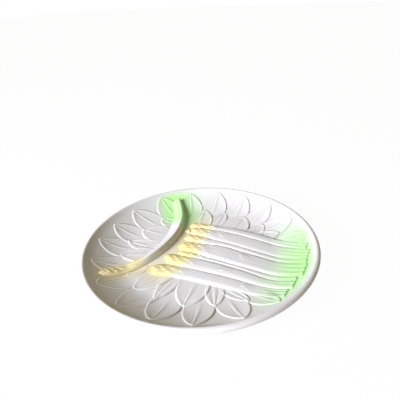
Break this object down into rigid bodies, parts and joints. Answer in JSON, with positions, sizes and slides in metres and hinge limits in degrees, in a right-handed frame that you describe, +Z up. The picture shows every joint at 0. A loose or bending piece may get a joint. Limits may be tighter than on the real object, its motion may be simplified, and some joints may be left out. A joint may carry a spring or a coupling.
{
  "type": "asparagus plate",
  "caption": "Round glazed earthenware plate with a rolled rim and foot ring, raised leaves, a bundle of asparagus spears in relief and a curved stalk that parts off a sauce well",
  "frame": {"origin": "on the table under the middle of the plate", "axes": "+Z up out of the plate's face, +Y from the spears towards the sauce well, +X to the right as seen from the spears' butts"},
  "size_m": [0.245, 0.245, 0.0237],
  "materials": {
    "white_glaze": "gloss",
    "leaf_glaze": "gloss",
    "tinted_spear_glaze": "gloss",
    "tinted_stalk_glaze": "gloss"
  },
  "bodies": {
    "root": {"plate_body": "white_glaze", "sauce_divider": "tinted_stalk_glaze", "spear_far_left": "tinted_spear_glaze", "spear_left": "tinted_spear_glaze", "spear_thin": "tinted_spear_glaze", "spear_middle": "tinted_spear_glaze", "spear_slim": "tinted_spear_glaze", "spear_right": "tinted_spear_glaze", "spear_far_right": "tinted_spear_glaze", "spear_bud": "tinted_spear_glaze", "outer_leaf_1": "leaf_glaze", "outer_leaf_2": "leaf_glaze", "outer_leaf_3": "leaf_glaze", "outer_leaf_4": "leaf_glaze", "outer_leaf_5": "leaf_glaze", "outer_leaf_6": "leaf_glaze", "outer_leaf_7": "leaf_glaze", "outer_leaf_8": "leaf_glaze", "outer_leaf_9": "leaf_glaze", "outer_leaf_10": "leaf_glaze", "outer_leaf_11": "leaf_glaze", "outer_leaf_12": "leaf_glaze", "outer_leaf_13": "leaf_glaze", "outer_leaf_14": "leaf_glaze", "outer_leaf_15": "leaf_glaze", "outer_leaf_16": "leaf_glaze", "outer_leaf_17": "leaf_glaze", "inner_leaf_1": "leaf_glaze", "inner_leaf_2": "leaf_glaze", "inner_leaf_3": "leaf_glaze", "inner_leaf_4": "leaf_glaze", "inner_leaf_5": "leaf_glaze", "inner_leaf_6": "leaf_glaze", "inner_leaf_7": "leaf_glaze", "inner_leaf_8": "leaf_glaze", "inner_leaf_9": "leaf_glaze", "inner_leaf_10": "leaf_glaze", "inner_leaf_11": "leaf_glaze", "inner_leaf_12": "leaf_glaze", "inner_leaf_13": "leaf_glaze", "inner_leaf_14": "leaf_glaze", "inner_leaf_15": "leaf_glaze"}
  },
  "joints": []
}
